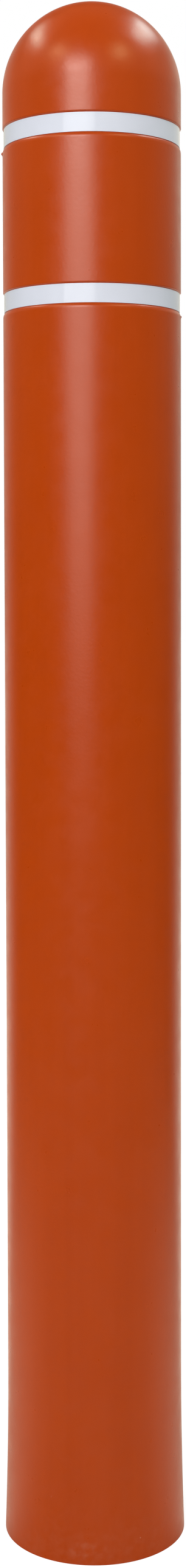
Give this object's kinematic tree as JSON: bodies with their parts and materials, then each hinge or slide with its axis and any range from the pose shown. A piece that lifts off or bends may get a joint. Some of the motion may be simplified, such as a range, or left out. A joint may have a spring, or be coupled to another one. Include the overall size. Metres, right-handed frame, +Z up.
{
  "type": "bollard cover sleeve",
  "caption": "Domed orange plastic sleeve that slides over a pipe bollard, with recessed white reflective tapes near the top, a flared foot and foam strips inside that grip the post.",
  "frame": {"origin": "centre of the foot rim, at the level of the ground that the sleeve stands on", "axes": "+Z up along the sleeve's axis towards the dome, -Y towards the viewer of the picture, +Y to the rear, where the tape ends lap"},
  "size_m": [0.1842, 0.1838, 1.543],
  "materials": {
    "moulded_plastic": "satin",
    "reflective_tape": "gloss",
    "foam": "matte"
  },
  "bodies": {
    "root": {"sleeve_shell": "moulded_plastic", "upper_reflective_tape": "reflective_tape", "lower_reflective_tape": "reflective_tape", "upper_front_foam_strip": "foam", "upper_right_foam_strip": "foam", "upper_rear_foam_strip": "foam", "upper_left_foam_strip": "foam", "lower_front_foam_strip": "foam", "lower_right_foam_strip": "foam", "lower_rear_foam_strip": "foam", "lower_left_foam_strip": "foam"}
  },
  "joints": []
}
